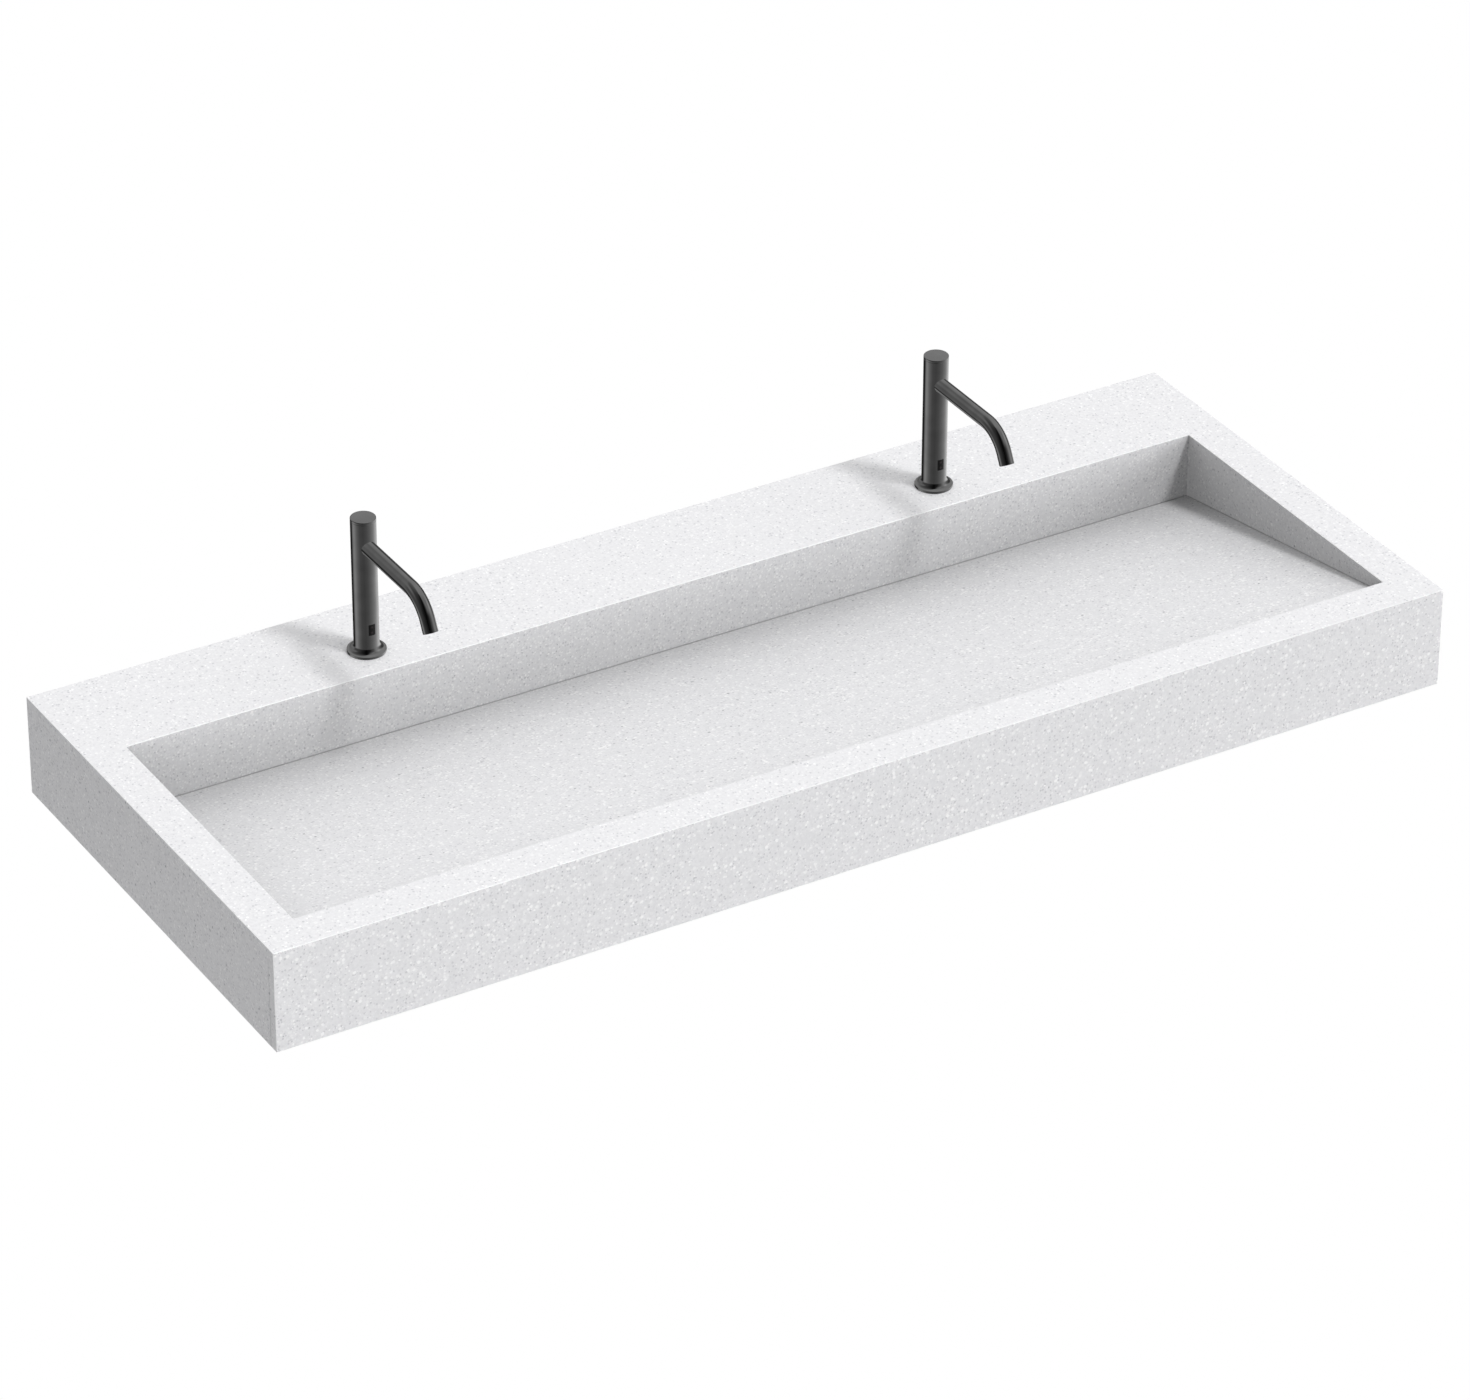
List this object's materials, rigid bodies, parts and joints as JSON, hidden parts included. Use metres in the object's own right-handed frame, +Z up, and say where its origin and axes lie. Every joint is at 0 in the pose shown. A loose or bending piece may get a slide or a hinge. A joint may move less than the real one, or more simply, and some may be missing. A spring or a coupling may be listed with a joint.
{
  "type": "trough sink",
  "caption": "Wall-hung rectangular trough sink in speckled solid surface, with a sloping lift-out ramp over a hidden drain and touch-free deck faucets in dark metal.",
  "frame": {"origin": "middle of the deck's top rear edge, on the wall plane", "axes": "+X along the wall to the right of someone facing it, +Y into the wall, +Z up"},
  "size_m": [1.524, 0.6096, 0.4443],
  "materials": {
    "stone": "matte",
    "graphite": "satin",
    "steel": "satin",
    "galvanised": "matte",
    "brass": "satin",
    "copper": "satin",
    "rubber": "matte",
    "plywood": "matte",
    "lens": "gloss",
    "plastic": "matte"
  },
  "bodies": {
    "sink": {"deck": "stone", "front_apron": "stone", "left_apron": "stone", "right_apron": "stone", "basin_back_wall": "stone", "basin_front_wall": "stone", "basin_left_wall": "stone", "basin_right_wall": "stone", "basin_floor": "stone", "drain_strainer": "steel", "drain_body": "steel", "drain_gasket": "rubber", "drain_washer": "plastic", "drain_nut": "brass", "tailpiece": "steel", "left_bracket": "galvanised", "right_bracket": "galvanised", "wall_rail": "galvanised", "faucet_backer": "plywood", "deck_screws": "steel", "deck_inserts": "brass", "control_module": "plastic", "left_faucet_body": "graphite", "right_faucet_body": "graphite", "left_faucet_cap": "graphite", "right_faucet_cap": "graphite", "left_spout": "graphite", "right_spout": "graphite", "left_aerator": "graphite", "right_aerator": "graphite", "left_spout_holder": "brass", "right_spout_holder": "brass", "left_spout_seal": "rubber", "right_spout_seal": "rubber", "left_riser_pipe": "copper", "right_riser_pipe": "copper", "left_sensor_window": "lens", "right_sensor_window": "lens", "left_sensor_module": "plastic", "right_sensor_module": "plastic", "left_base_gasket": "rubber", "right_base_gasket": "rubber", "left_shank": "brass", "right_shank": "brass", "left_clamp_washer": "steel", "right_clamp_washer": "steel", "left_lock_nut": "brass", "right_lock_nut": "brass", "left_valve_block": "brass", "right_valve_block": "brass", "left_coil": "plastic", "right_coil": "plastic", "left_plunger_spring": "steel", "right_plunger_spring": "steel"},
    "ramp": {"ramp_panel": "stone", "ramp_ribs": "stone", "ramp_bumpers": "rubber"},
    "left_valve_plunger": {"left_plunger": "steel"},
    "right_valve_plunger": {"right_plunger": "steel"}
  },
  "joints": [
    {"name": "ramp_lift", "type": "slide", "parent": "sink", "child": "ramp", "axis": [0, 0, 1], "range_m": [0, 0.12]},
    {"name": "left_valve_slide", "type": "slide", "parent": "sink", "child": "left_valve_plunger", "axis": [0, 1, 0], "range_m": [0, 0.0018], "stiffness_N_per_m": 400, "springref_m": -0.004, "deforming": ["left_plunger_spring"]},
    {"name": "right_valve_slide", "type": "slide", "parent": "sink", "child": "right_valve_plunger", "axis": [0, 1, 0], "range_m": [0, 0.0018], "stiffness_N_per_m": 400, "springref_m": -0.004, "deforming": ["right_plunger_spring"]}
  ]
}
